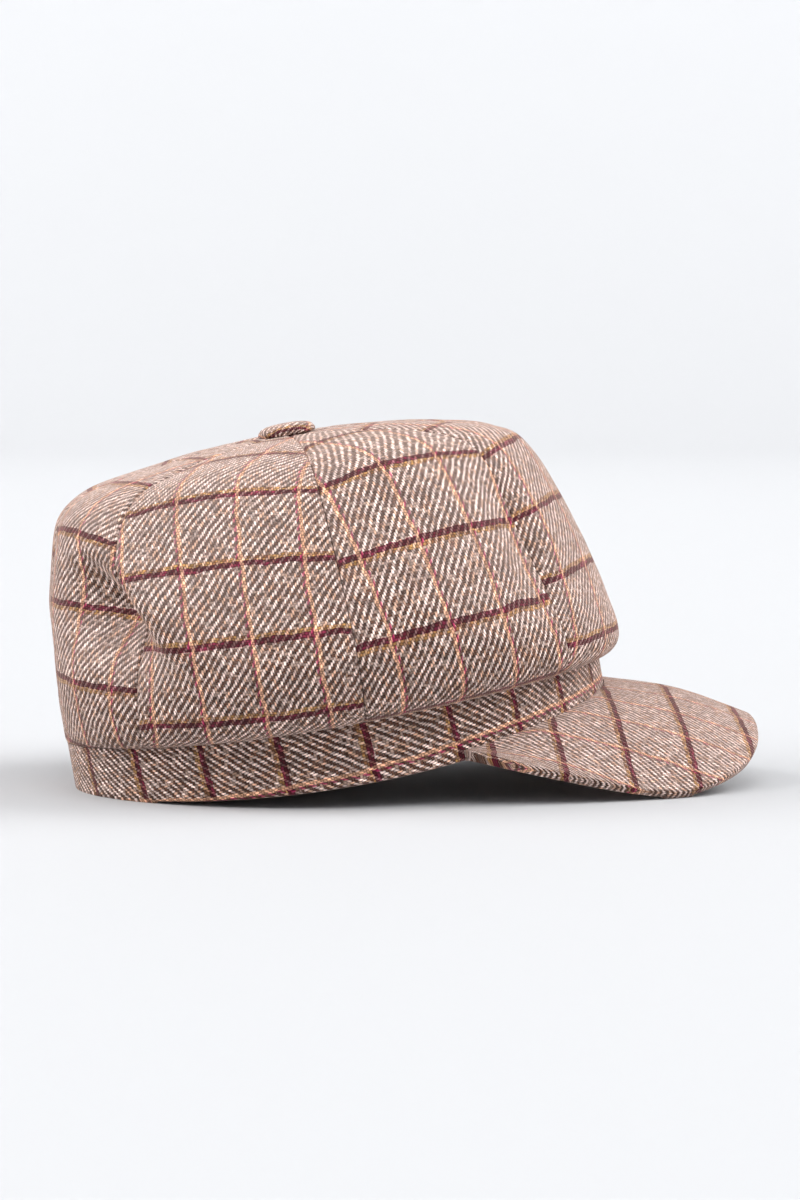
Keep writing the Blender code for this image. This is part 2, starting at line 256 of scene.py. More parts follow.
# the crown without dents, share is 0 at the band and 1 under the button
def crownBase(angle, share):
    rows = smoothRows(reachRows, share)
    square = np.clip(share / turnEnd, 0.0, 1.0)
    power = 1.0 + (2.0 / hat["planPower"] - 1.0) * square
    along = np.sign(np.cos(angle)) * np.abs(np.cos(angle)) ** power
    across = np.sign(np.sin(angle)) * np.abs(np.sin(angle)) ** power
    reach = np.where(np.cos(angle) >= 0, rows[..., 1], rows[..., 3])
    seam = bandTop(angle) + hat["seamGap"]
    height = seam + rows[..., 0] * (hat["crownHeight"] - seam)
    return np.stack([reach * along, rows[..., 2] * across, height], -1)


# the way a swell or dent moves the cloth
def outward(points):
    tall = hat["crownHeight"]
    direction = np.stack([
        points[..., 0] / (halfLength + overhangs[0]) ** 2,
        points[..., 1] / (halfWidth + overhangs[1]) ** 2,
        crown["swellUpward"] * (points[..., 2] - crown["swellCentre"] * tall) / tall**2,
    ], -1)
    return direction / np.linalg.norm(direction, axis=-1, keepdims=True)


def shareAtLift(lift):
    shares = np.linspace(0.0, 1.0, crown["samplesLift"])
    return np.interp(lift, smoothRows(reachRows, shares)[:, 0], shares)


def foldHeight(points, share):
    total = np.zeros(points.shape[:-1])
    lifts = smoothRows(reachRows, share)[..., 0]
    tall = hat["crownHeight"]
    for degrees, lift, halfRun, below, above, lean, depth in folds:
        angle = radians(degrees)
        offset = points - crownBase(np.array(angle), shareAtLift(lift))
        sideways = offset @ np.array([-sin(angle), cos(angle), 0.0])
        upward = (lifts - lift) * tall
        slant = radians(lean)
        run = (sideways * cos(slant) + upward * sin(slant)) / (halfRun * tall)
        rise = (upward * cos(slant) - sideways * sin(slant)) / tall
        rise = rise / np.where(rise < 0.0, below, above)
        near = np.linalg.norm(offset, axis=-1) < crown["foldReach"] * tall
        total += depth * crown["wall"] * near * np.exp(-0.5 * (run**2 + rise**2))
    return total * smoothStep(share / turnEnd) * smoothStep((1.0 - share) / crown["foldTop"])


# angles and shares of a panel's grid, closer together beside the seams
def panelGrid(first, last):
    middle = radians((first + last) / 2)
    fine = np.linspace(0.0, 1.0, crown["samplesUp"])
    spine = crownBase(np.full(len(fine), middle), fine)
    run = runAlong(spine)
    top = run[-1] - crown["apexHole"]
    rows = int(round(top / crown["rowStep"]))
    shares = np.interp(np.linspace(0.0, top, rows + 1), run, fine)
    sweep = np.radians(np.linspace(first, last, crown["samplesRound"]))
    widths = []
    for share in shares:
        widths.append(runAlong(crownBase(sweep, np.full(len(sweep), share))))
    widest = max(width[-1] for width in widths)
    edge = np.array(crown["seamColumns"])
    start = crown["firstColumn"]
    inner = int(round((widest - 2 * start) / crown["columnStep"])) + 1
    inner += 1 - inner % 2     # an odd number, so that one column runs up the middle
    columns = np.concatenate([edge, np.linspace(start, widest - start, inner), widest - edge[::-1]])
    angles = np.empty((len(shares), len(columns)))
    gap = crown["seamGap"] / 2
    for row, width in enumerate(widths):
        angles[row] = np.interp(gap + columns / widest * (width[-1] - 2 * gap), width, sweep)
    return angles, np.repeat(shares[:, None], len(columns), axis=1)


# distance of each grid point to the nearer side seam
def fromSeams(points):
    across = runAcross(points)
    return np.minimum(across, across[:, -1:] - across)


# flat cloth under a panel's grid: across from its middle line, up from its foot
def cutCloth(points):
    middle = points.shape[1] // 2
    run = runAlong(points[:, middle])
    across = runAcross(points)
    width = across[:, -1].copy()
    across -= across[:, middle:middle + 1]
    bend = np.clip(-np.gradient(np.log(width), run), 0.0, None)
    window = np.hanning(crown["clothEvening"])
    spare = len(window) // 2
    bend = np.convolve(np.pad(bend, spare, mode="edge"), window / window.sum(), mode="valid")[:, None]
    mostTurn = crown["mostTurn"]
    turn = np.clip(bend * across, -mostTurn, mostTurn)
    bent = bend > crown["leastBend"]
    safe = np.where(bent, bend, 1.0)
    flatU = np.where(bent, np.sin(turn) / safe, across)
    flatV = run[:, None] + np.where(bent, (1 - np.cos(turn)) / safe, 0.5 * bend * across**2)
    return flatU, flatV


# cloth coordinates in metres, after the panel was shifted, leaned, sheared or turned
def layCloth(flatU, flatV, shiftU, shiftV, lean, shear, stretch, turned):
    slant = radians(lean)
    u = flatU * cos(slant) + flatV * (sin(slant) + shear) - shiftU / 1000
    v = (flatV * cos(slant) - flatU * sin(slant)) * stretch - shiftV / 1000
    sign = -1.0 if turned else 1.0
    return np.stack([sign * u, sign * v], -1)


def dress(name, mesh, material, node):
    mesh.shade_smooth()
    mesh.set_sharp_from_angle(angle=radians(hat["edgeFrom"]))
    mesh.materials.append(material)
    piece = bpy.data.objects.new(name, mesh)
    addObject(piece)
    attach(piece, "root")
    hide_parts(node)
    return piece


# mesh object with its cloth coordinates in a UV map, in place of a CAD node
def addMesh(name, points, faces, cloth, material, node):
    mesh = bpy.data.meshes.new(name)
    mesh.from_pydata(points.tolist(), [], faces)
    layer = mesh.uv_layers.new(name="cloth")
    corners = np.empty(len(mesh.loops), int)
    mesh.loops.foreach_get("vertex_index", corners)
    layer.uv.foreach_set("vector", cloth[corners].astype(np.float32).ravel())
    shape = bmesh.new()
    shape.from_mesh(mesh)
    bmesh.ops.recalc_face_normals(shape, faces=shape.faces)
    shape.to_mesh(mesh)
    shape.free()
    return dress(name, mesh, material, node)


# faces of a sheet, the sheet behind it and the four edges that join them
def slabFaces(rows, columns):
    def at(side, row, column):
        return side * rows * columns + row * columns + column

    faces = []
    for row in range(rows - 1):
        for column in range(columns - 1):
            corners = [(row, column), (row, column + 1), (row + 1, column + 1), (row + 1, column)]
            faces.append(tuple(at(0, *corner) for corner in corners))
            faces.append(tuple(at(1, *corner) for corner in (corners[0], *corners[:0:-1])))
    for row in range(rows - 1):
        for column, flip in ((0, False), (columns - 1, True)):
            face = (at(0, row, column), at(0, row + 1, column), at(1, row + 1, column), at(1, row, column))
            faces.append(face[::-1] if flip else face)
    for column in range(columns - 1):
        for row, flip in ((0, True), (rows - 1, False)):
            face = (at(0, row, column), at(0, row, column + 1), at(1, row, column + 1), at(1, row, column))
            faces.append(face if flip else face[::-1])
    return faces


def puffHeight(angle, share, first, last):
    middle = radians((first + last) / 2)
    spot = (angle - middle) / radians((last - first) / 2)
    rising = smoothStep((share - crown["puffFrom"]) / crown["puffOver"])
    fade = rising * smoothStep((1.0 - share) / crown["puffTop"])
    return crown["puff"] * (2.0 * np.cos(spot * pi / 2) - 1.0) * fade


def addPanel(name, node, first, last, lay, material):
    angles, shares = panelGrid(first, last)
    base = crownBase(angles, shares)
    flatU, flatV = cutCloth(base)
    swell = puffHeight(angles, shares, first, last) + foldHeight(base, shares)
    puffed = base + outward(base) * swell[..., None]
    normals = gridNormals(puffed)
    fade = smoothStep((shares - crown["detailFrom"]) / crown["detailOver"])
    near = fromSeams(base)
    groove = -crown["grooveDepth"] * np.clip(1.0 - near / crown["grooveReach"], 0.0, 1.0) ** 2
    softAngle, softShare = crown["softSeam"]
    middle = angles.shape[1] // 2
    for seam, side in ((first, slice(0, middle)), (last, slice(middle, None))):
        if abs(seam) == softAngle:
            groove[:, side] *= softShare
    bends, length = crown["rippleWander"]
    wander = bends * softNoise(base, length, first)
    ripple = np.sin(flatV / crown["puckerLength"] * 2 * pi + wander)
    ripple = crown["pucker"] * ripple * np.exp(-near / crown["rippleReach"])
    large, small = crown["waveSizes"]
    waves = softNoise(base, large, 5.0) + crown["smallWaves"] * softNoise(base, small, 9.0)
    waves = crown["unevenness"] * waves
    detail = groove * smoothStep(shares / crown["grooveFrom"]) + (ripple + waves) * fade
    outer = puffed + normals * detail[..., None]
    wall = crown["wall"] * crown["wallShare"]
    # beside the seams the inner face leans with the seam's own upright plane
    inward = normals.copy()
    for column in (0, -1):
        radial = oval(angles[:, column], 1.0, 1.0, np.zeros(len(angles)))
        along = (normals[:, column] * radial).sum(axis=-1, keepdims=True)
        inward[:, column] = radial * along
        inward[:, column, 2] = normals[:, column, 2]
    inward[0, :, 2] = np.minimum(inward[0, :, 2], crown["footFacing"])
    inward /= np.linalg.norm(inward, axis=-1, keepdims=True)
    inner = puffed + normals * (waves * fade)[..., None] - inward * wall
    cloth = layCloth(flatU, flatV, *lay)
    points = twoFaces(outer, inner)
    uv = np.concatenate([cloth.reshape(-1, 2)] * 2)
    return addMesh(name, points, slabFaces(*angles.shape), uv, material, node)


# band
band = {
    "cells": 440,
    "edgeRound": 0.0012,       # soft roll of its lower edge
    "sideRows": (0.95, 0.12, 16),   # first and last share of its height, how many rows
    "insideRows": (0.3, 0.6),
    "rollSteps": (7, 5),       # of the lower edge, outside and inside
    "insideRoll": (0.999, 0.5),   # its depth and height inside, as shares
    "topFold": 0.006,          # cloth that goes over the top
    "unevenness": 0.00025,
    "waveSize": 0.028,
    # the cloth lies crosswise and a little off the grain
    "shiftAlong": -0.0019,
    "shiftUp": 0.0004,
    "slant": 0.10,             # burgundy lines lean back as they rise
}

# degrees from the nose, peach line's height over the lower edge in mm, cloth eased along in mm
bandLay = np.array([
    [-180.0, -1.5, 0.0],
    [-142.0, 0.2, -1.3],
    [-124.0, 1.1, -1.6],
    [-107.0, 3.2, -1.0],
    [-89.0, 5.4, 1.8],
    [-71.0, 7.4, 5.4],
    [-55.0, 8.0, 3.5],
    [-40.0, 8.0, -1.4],
    [-24.0, 7.8, -4.6],
    [0.0, 7.0, -5.0],
    [70.0, 3.0, 1.0],
    [120.0, -1.0, 0.0],
    [180.0, -1.5, 0.0],
])


def pressedFlat(points):
    over = points[..., 0] * sin(tilt) + points[..., 2] * cos(tilt) + place.z
    flat = points.copy()
    table = (-place.z - points[..., 0] * sin(tilt)) / cos(tilt)
    flat[..., 2] = np.where(over < hat["flatDepth"], table, flat[..., 2])
    return flat


# inset from the outside, height as a share of the band, extra height, distance round from the foot
def bandProfile():
    wall = hat["bandWall"]
    roll = band["edgeRound"]
    tall = hat["bandHeight"][1]
    profile = [(wall, 1.0, 0.0, tall + wall), (0.0, 1.0, 0.0, tall)]
    profile += [(0.0, share, 0.0, share * tall) for share in np.linspace(*band["sideRows"])]
    outside, inside = band["rollSteps"]
    deep, lift = band["insideRoll"]
    for turn in np.linspace(0.0, pi / 2, outside):
        profile.append((roll * (1 - cos(turn)), 0.0, roll * (1 - sin(turn)), roll * (1 - turn)))
    for turn in np.linspace(pi / 2, 0.0, inside)[1:]:
        inset = wall - roll * sin(turn) * deep
        profile.append((inset, 0.0, roll * (1 - cos(turn)) * lift, -inset))
    profile += [(wall, share, 0.0, -wall - share * tall) for share in band["insideRows"]]
    return profile


def addBand(material):
    angle = np.linspace(-pi, pi, band["cells"] + 1)
    low = rimHeight(angle)
    high = bandTop(angle)
    girth = oval(angle, halfLength, halfWidth, np.zeros_like(angle))
    run = runAlong(girth)
    spots = np.interp(np.degrees(angle), bandLay[:, 0], np.linspace(0.0, 1.0, len(bandLay)))
    lay = smoothRows(bandLay, spots) / 1000
    line = lay[:, 1]
    eased = lay[:, 2]
    rings = []
    cloth = []
    for inset, share, extra, around in bandProfile():
        ring = oval(angle, halfLength - inset, halfWidth - inset, low + (high - low) * share + extra)
        if inset == 0.0 and share > 0.0:
            waves = softNoise(girth, band["waveSize"], 3.0)
            swell = band["unevenness"] * waves * sin(pi * share)
            ring[:, 0] += swell * np.cos(angle)
            ring[:, 1] += swell * np.sin(angle)
        rings.append(pressedFlat(ring))
        rise = (high - low) * share + extra if share > 0.0 and inset == 0.0 else around
        along = run - eased + run[-1] / 2 + band["slant"] * rise + band["shiftAlong"]
        cloth.append(np.stack([rise - line + band["shiftUp"], -along], -1))
    cloth.append(cloth[0])
    cloth[-1] = cloth[-2] - np.array([band["topFold"], 0.0])
    points = np.array(rings)[:, :-1]
    rows, columns = points.shape[:2]
    faces = []
    corners = []
    for row in range(rows):
        here = row * columns
        under = (row + 1) % rows * columns
        for column in range(columns):
            after = (column + 1) % columns
            faces.append((here + column, under + column, under + after, here + after))
            corners += [(row, column), (row + 1, column), (row + 1, column + 1), (row, column + 1)]
    spots = np.array(corners)
    mesh = bpy.data.meshes.new("bandCover")
    mesh.from_pydata(tipped(points).reshape(-1, 3).tolist(), [], faces)
    layer = mesh.uv_layers.new(name="cloth")
    layer.uv.foreach_set("vector", np.array(cloth)[spots[:, 0], spots[:, 1]].astype(np.float32).ravel())
    return dress("bandCover", mesh, material, "band")


# peak
peak = {
    "length": 0.0563,          # past the band
    "rootAngle": 70.0,
    "halfWidth": 0.0780,
    "tipRise": 0.0210,
    "bulge": 0.0030,
    "topWall": 0.0026,
    "underWall": 0.0010,
    "roll": 0.0016,
    "corner": 0.0040,
    "cellsRound": 240,
    "cellsOut": 60,
    "fanCentre": 0.030,
    # how the cloth lies on it: shifts in mm, stretches, shear and slant
    "shiftU": -144.0,
    "shiftV": -86.6,
    "stretchU": 1.508,
    "stretchV": 1.053,
    "shear": 0.154,
    "slant": 0.057,
    "slopeFades": (0.60, 0.25),   # from this share of the way to the corners, over the next share
    "edgeKeeps": 0.62,         # share of its thickness that the edge keeps at its outermost line
    "edgeSteps": 8,
    "unevenness": 0.00035,
    "waveSize": 0.030,
    "waveFade": 8,             # waves fade out over one part in this many beside its edges
    "underShift": 0.002,       # how much further on the cloth lies inside
}

# lower edge from tip to corner: shares of length past the band, half width, tip rise
peakEdge = np.array([
    [1.000, 0.000, 1.000],
    [0.983, 0.210, 0.880],
    [0.920, 0.405, 0.640],
    [0.793, 0.575, 0.390],
    [0.590, 0.710, 0.180],
    [0.300, 0.820, 0.020],
    [-0.083, 0.920, 0.133],
    [-0.600, 1.015, 0.440],
])


# points given over the table, as the level cap sees them
def levelFromFloor(points):
    forward = points[..., 0] * cos(tilt) + (points[..., 2] - place.z) * sin(tilt)
    up = -points[..., 0] * sin(tilt) + (points[..., 2] - place.z) * cos(tilt)
    return np.stack([forward, points[..., 1], up], -1)


def peakRoot(spot, clearance):
    angle = spot * radians(peak["rootAngle"])
    return oval(angle, halfLength + clearance, halfWidth + clearance, rimHeight(angle))


overTable = np.column_stack([
    halfLength + peak["length"] * peakEdge[:, 0],
    peak["halfWidth"] * peakEdge[:, 1],
    peak["tipRise"] * peakEdge[:, 2],
])
leftEdge = np.vstack([levelFromFloor(overTable), peakRoot(np.array([1.0]), peak["corner"])])
edgeRows = np.vstack([leftEdge[:0:-1] * np.array([1.0, -1.0, 1.0]), leftEdge])


def peakRow(spot, share, inset):
    root = peakRoot(spot, hat["seamGap"])
    edge = smoothRows(edgeRows, (spot + 1.0) / 2.0)
    length = np.linalg.norm(edge - root, axis=-1)
    out = share * (1.0 - inset / length)
    points = root + (edge - root) * out[:, None]
    points[:, 2] += peak["bulge"] * np.sin(pi * out) * (1.0 - spot**2)
    return points


def peakGrid(stops):
    spot = np.linspace(-1.0, 1.0, peak["cellsRound"] + 1)
    grid = np.array([peakRow(spot, share, inset) for share, inset in stops])
    normals = gridNormals(grid)
    normals *= np.where(normals[..., 2:] < 0.0, -1.0, 1.0)
    normals[0] = (0.0, 0.0, 1.0)
    return grid, normals


# cloth lies fore and aft over the arch, and past flatRows it wraps on down the edge
def peakCloth(grid, flatRows):
    middle = grid.shape[1] // 2
    centre = grid[flatRows - 1, middle] - grid[0, middle]
    slope = centre[2] / centre[0]
    steps = np.diff(grid, axis=1)
    # the peak's slope counts in its middle and fades out towards its corners
    spots = np.abs(np.linspace(-1.0, 1.0, steps.shape[1]))
    fadeFrom, fadeOver = peak["slopeFades"]
    slopes = slope * (1.0 - smoothStep((spots - fadeFrom) / fadeOver))
    sideways = np.hypot(steps[..., 1], steps[..., 2] - slopes * steps[..., 0]) * np.sign(steps[..., 1])
    u = np.concatenate([np.zeros((len(grid), 1)), np.cumsum(sideways, axis=1)], axis=1)
    u -= u[:, middle:middle + 1]
    v = -grid[..., 0] * hypot(1.0, slope)
    for row in range(flatRows, len(grid)):
        move = np.linalg.norm(grid[row] - grid[row - 1], axis=-1)
        out = np.stack([grid[0, :, 1], peak["fanCentre"] - grid[row, :, 0]], -1)
        out /= np.linalg.norm(out, axis=-1, keepdims=True)
        u[row] = u[row - 1] + out[:, 0] * move
        v[row] = v[row - 1] + out[:, 1] * move
    across = u * peak["stretchU"] + v * peak["shear"] - peak["shiftU"] / 1000
    along = v * peak["stretchV"] + u * peak["slant"] - peak["shiftV"] / 1000
    return np.stack([across, along], -1)


def addPeak(material):
    shares = np.linspace(0.0, 1.0, peak["cellsOut"] + 1)
    seat = peak["underWall"] + hat["seamGap"]
    total = seat + peak["topWall"]
    roll = peak["roll"]
    stops = [(share, roll) for share in shares]
    above = [total] * len(shares)
    below = [seat] * len(shares)
    kept = peak["edgeKeeps"]
    for turn in np.linspace(0.0, 1.0, peak["edgeSteps"])[1:]:
        arc = turn * pi / 2
        stops.append((1.0, roll * (1.0 - sin(arc))))
        above.append(total * (kept + (1.0 - kept) * cos(arc)))
        below.append(seat * max(0.0, 1.0 - 2.0 * turn))
    grid, normals = peakGrid(stops)
    upper = grid + normals * np.array(above)[:, None, None]
    rise = np.linspace(0, peak["waveFade"], len(stops))
    rise = np.minimum(rise, rise[::-1])
    waves = peak["unevenness"] * softNoise(upper, peak["waveSize"], 7.0) * smoothStep(rise)[:, None]
    upper = upper + normals * waves[..., None]
    lower = pressedFlat(grid + normals * np.array(below)[:, None, None])
    points = twoFaces(upper, lower)
    cloth = peakCloth(upper, len(shares))
    uv = np.concatenate([cloth.reshape(-1, 2), (cloth + peak["underShift"]).reshape(-1, 2)])
    addMesh("peakTop", points, slabFaces(*grid.shape[:2]), uv, material, "peak_top")
    grid, normals = peakGrid([(share, roll + 2.0 * hat["seamGap"]) for share in shares])
    upper = grid + normals * peak["underWall"]
    lower = pressedFlat(grid)
    points = twoFaces(upper, lower)
    uv = np.concatenate([peakCloth(upper, len(shares)).reshape(-1, 2)] * 2)
    addMesh("peakUnder", points, slabFaces(*grid.shape[:2]), uv, material, "peak_under")


# button
button = {
    "radius": 0.0110,
    "height": 0.0042,
    "sunk": 0.0006,            # pressed into the crown
    "gathers": 9,              # small folds of its cover round the rim
    "gatherDepth": 0.02,
    "coverPull": 0.5,          # how far the cloth is drawn in round the rim
    "cells": 96,
    "rings": 25,
    "shiftU": 9.0,
    "shiftV": -10.8,
}

# reach as a share of the radius, rise as a share of the height
buttonFoot = [(0.45, 0.00)]
buttonDome = [
    (0.97, -0.04),
    (1.00, 0.12),
    (0.97, 0.42),
    (0.86, 0.70),
    (0.64, 0.89),
    (0.34, 0.98),
    (0.00, 1.00),
]


def addButton(material):
    seat = hat["crownHeight"] + hat["seamGap"] - button["sunk"]
    stops = smoothRows(np.array(buttonDome), np.linspace(0.0, 1.0, button["rings"]))[:-1]
    stops = np.vstack([buttonFoot, stops])
    angle = np.linspace(0.0, 2 * pi, button["cells"], endpoint=False)
    rings = []
    for reach, rise in stops:
        radius = button["radius"] * reach
        rings.append(oval(angle, radius, radius, np.full_like(angle, seat + button["height"] * rise)))
    rings = np.array(rings)
    gather = button["gatherDepth"] * np.sin(button["gathers"] * angle)
    gather = 1.0 + gather * np.clip(1 - stops[:, 1:2], 0, 1)
    rings[..., :2] *= gather[..., None]
    rows, columns = rings.shape[:2]
    points = rings.reshape(-1, 3)
    tip = len(points)
    points = np.vstack([points, [[0, 0, seat + button["height"]], [0, 0, seat]]])
    faces = []
    for row in range(rows - 1):
        for column in range(columns):
            after = (column + 1) % columns
            here = row * columns
            above = here + columns
            faces.append((here + column, here + after, above + after, above + column))
    for column in range(columns):
        after = (column + 1) % columns
        faces.append(((rows - 1) * columns + column, (rows - 1) * columns + after, tip))
        faces.append((after, column, tip + 1))
    flat = points[:, :2].copy()
    depth = np.clip((seat + button["height"] - points[:, 2:]) / button["height"], 0, 1)
    flat *= 1.0 + button["coverPull"] * depth**2
    cloth = np.stack([flat[:, 0] - button["shiftU"] / 1000, flat[:, 1] - button["shiftV"] / 1000], -1)
    addMesh("buttonCover", tipped(points), faces, cloth, material, "button")


# cloth
weave = {
    "endPitch": 0.76,          # mm from one upright yarn to the next
    "pickPitch": 0.915,        # mm from one crosswise yarn to the next
    "endRepeat": 30,           # peach line every so many upright yarns
    "pickRepeat": 32,          # burgundy stripe every so many crosswise yarns
    # middle and half width of each coloured line, in yarns
    "peachLine": (0.5, 0.90),
    "dashLine": (-0.8, 0.95),
    "burgundyStripe": (-1.1, 1.28),
    "oliveEdge": (0.90, 1.15),
    "ragged": 1.1,             # how far the edges of the lines wander, in yarns
    # colours of upright yarns, crosswise yarns and lines, each with what it is mixed with
    "light": (0.835, 0.672, 0.622),
    "lightWarm": (0.580, 0.340, 0.230),
    "lightDim": (0.260, 0.165, 0.130),
    "lightBrown": (0.220, 0.130, 0.100),
    "dark": (0.105, 0.037, 0.019),
    "darkDeep": (0.034, 0.011, 0.005),
    "darkFleck": (0.460, 0.320, 0.270),
    "darkPale": (0.500, 0.340, 0.270),
    "peach": (0.920, 0.520, 0.330),
    "peachDim": (0.460, 0.200, 0.120),
    "burgundy": (0.108, 0.006, 0.018),
    "burgundyDeep": (0.045, 0.010, 0.014),
    "dash": (0.280, 0.014, 0.065),
    "olive": (0.670, 0.375, 0.120),
    "oliveBrown": (0.170, 0.055, 0.035),
    "oliveDeep": (0.100, 0.030, 0.025),
    "fuzzAndPaintedHighlightColour": (0.750, 0.580, 0.520),
    "fuzz": {"crown": 0.15, "band": 0.12, "peak": 0.17, "button": 0.14},
    # painted highlight: how strongly faces that look up, forward or back are lightened towards the fuzz
    # colour
    "paintedHighlight": 0.30,
    "paintedHighlightLeast": 0.30,          # how far a spot has to face up or fore and aft before it gets the painted highlight
    "paintedHighlightEnds": 0.65,           # what facing fore or aft counts against facing up
    "bareStripes": 0.80,       # share of fuzz and painted highlight that the coloured lines keep off
    "wander": (1.8, 1.2),      # mm, slow and quick drift of the yarns
    "wanderScales": (0.10, 0.33),
    "yarnRound": 3.8,          # how soon a yarn falls away beside its middle
    "warpArch": (0.12, 0.88),  # height of an upright float at its ends, and what its middle adds
    "weftArch": (0.12, 0.58),
    "fibreScales": (3.2, 1.1),   # across the yarn and along it
    "patchScales": (0.30, 0.12),
    "grainScale": 1.7,
    # yarns that differ: random number past this, and how far they differ
    "warmYarns": (0.76, 0.60),
    "warmthOfAll": 0.40,
    "brownYarns": (0.13, 0.7),
    "darkFlecks": (0.60, 0.45),
    "paleYarns": (0.84, 0.7),
    "dashYarns": (0.78, 0.5),
    "oliveYarns": (0.30, 0.7),
    "dimFibres": (0.62, 3.0),
    "dimShare": 0.60,
    # share of a line's colour that shows, and what upright yarns take away or add
    "oliveCover": (0.97, 0.36),
    "burgundyCover": (0.97, 0.16),
    "peachCover": (0.62, 0.33),
    "peachUnder": 0.28,        # less of it where the burgundy stripe crosses
    "dashCover": 0.92,
    # brightness: the least, and what height (painted shade between the yarns), grain, patch or float add
    "paintedGapShade": (0.13, 1.30),
    "grainTone": (0.38, 1.24),
    "patchTone": (0.22, 1.56),
    "floatTone": (0.64, 0.72),
    "wisps": (0.38, 2.4),      # loose hairs: from this noise on, and how fast they thicken
    "wispScale": 0.9,
    "roughness": 0.95,
    "gloss": 0.12,
    "sheen": 0.37,
    "sheenRoughness": 0.34,
    "sheenTint": (1.0, 0.75, 0.64),
    "bump": (0.6, 0.00030),    # strength, and depth in metres
}


# short ways to add nodes to a tree
def nodeMaker(tree):
    nodes, links = tree.nodes, tree.links

    def feed(socket, value):
        if isinstance(value, bpy.types.NodeSocket):
            links.new(value, socket)
        else:
            socket.default_value = value

    def calc(operation, *values, clamp=False):
        node = nodes.new("ShaderNodeMath")
        node.operation = operation
        node.use_clamp = clamp
        for socket, value in zip(node.inputs, values):
            feed(socket, value)
        return node.outputs[0]

    def mixColour(factor, first, second):
        node = nodes.new("ShaderNodeMix")
        node.data_type = "RGBA"
        feed(node.inputs[0], factor)
        feed(node.inputs[6], first if isinstance(first, bpy.types.NodeSocket) else (*first, 1.0))
        feed(node.inputs[7], second if isinstance(second, bpy.types.NodeSocket) else (*second, 1.0))
        return node.outputs[2]

    def vector(x, y, z=0.0):
        node = nodes.new("ShaderNodeCombineXYZ")
        for socket, value in zip(node.inputs, (x, y, z)):
            feed(socket, value)
        return node.outputs[0]

    def noiseAt(spot, scale, detail=2.0, roughness=0.5):
        node = nodes.new("ShaderNodeTexNoise")
        node.noise_dimensions = "3D"
        feed(node.inputs["Vector"], spot)
        node.inputs["Scale"].default_value = scale
        node.inputs["Detail"].default_value = detail
        node.inputs["Roughness"].default_value = roughness
        return node.outputs["Fac"]

    def cellNoise(spot):
        node = nodes.new("ShaderNodeTexWhiteNoise")
        node.noise_dimensions = "3D"
        feed(node.inputs["Vector"], spot)
        return node.outputs["Value"]

    return calc, mixColour, vector, noiseAt, cellNoise


